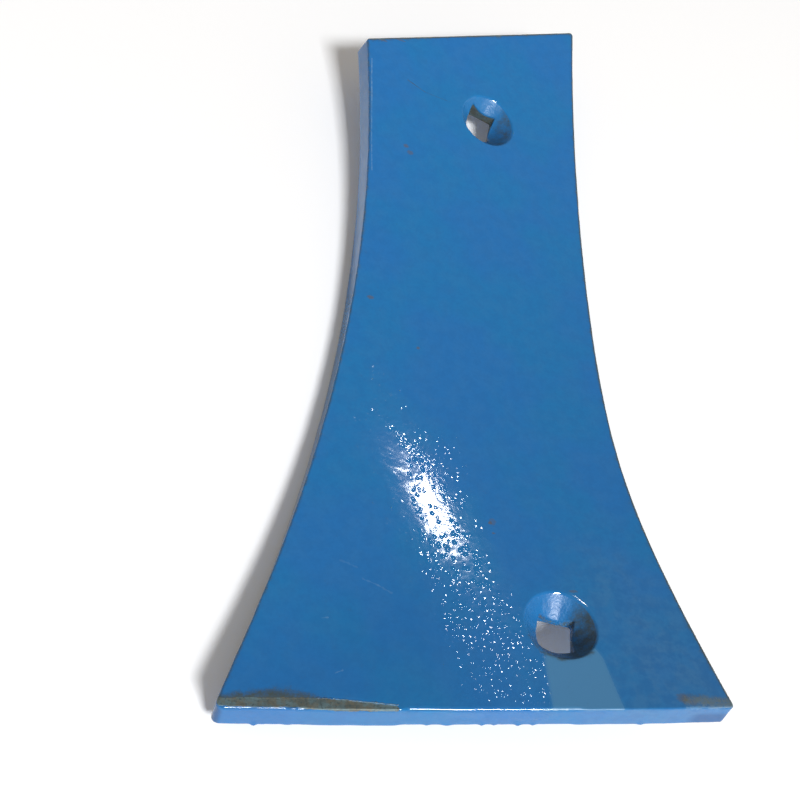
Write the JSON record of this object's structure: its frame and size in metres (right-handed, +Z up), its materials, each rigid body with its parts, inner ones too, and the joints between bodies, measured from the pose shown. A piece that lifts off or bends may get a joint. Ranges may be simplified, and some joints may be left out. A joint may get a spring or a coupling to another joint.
{
  "type": "mouldboard breast",
  "caption": "Curved steel breast plate of a plough body, waisted between straight ends, with conical bolt seats over square holes.",
  "frame": {"origin": "centre of the plate's outline on the floor it lies on, at the height of the lowest line of its back", "axes": "+Z up out of the hollow working face as the plate lies on its back, +Y from the bottom end, which meets the share, to the top end, +X to the right seen from the working face with the bottom end near"},
  "size_m": [0.168, 0.3428, 0.0334],
  "materials": {
    "blue_paint": "gloss paint over rolled steel, worn to rust along the bottom edge"
  },
  "bodies": {
    "root": {"breast_plate": "blue_paint"}
  },
  "joints": []
}
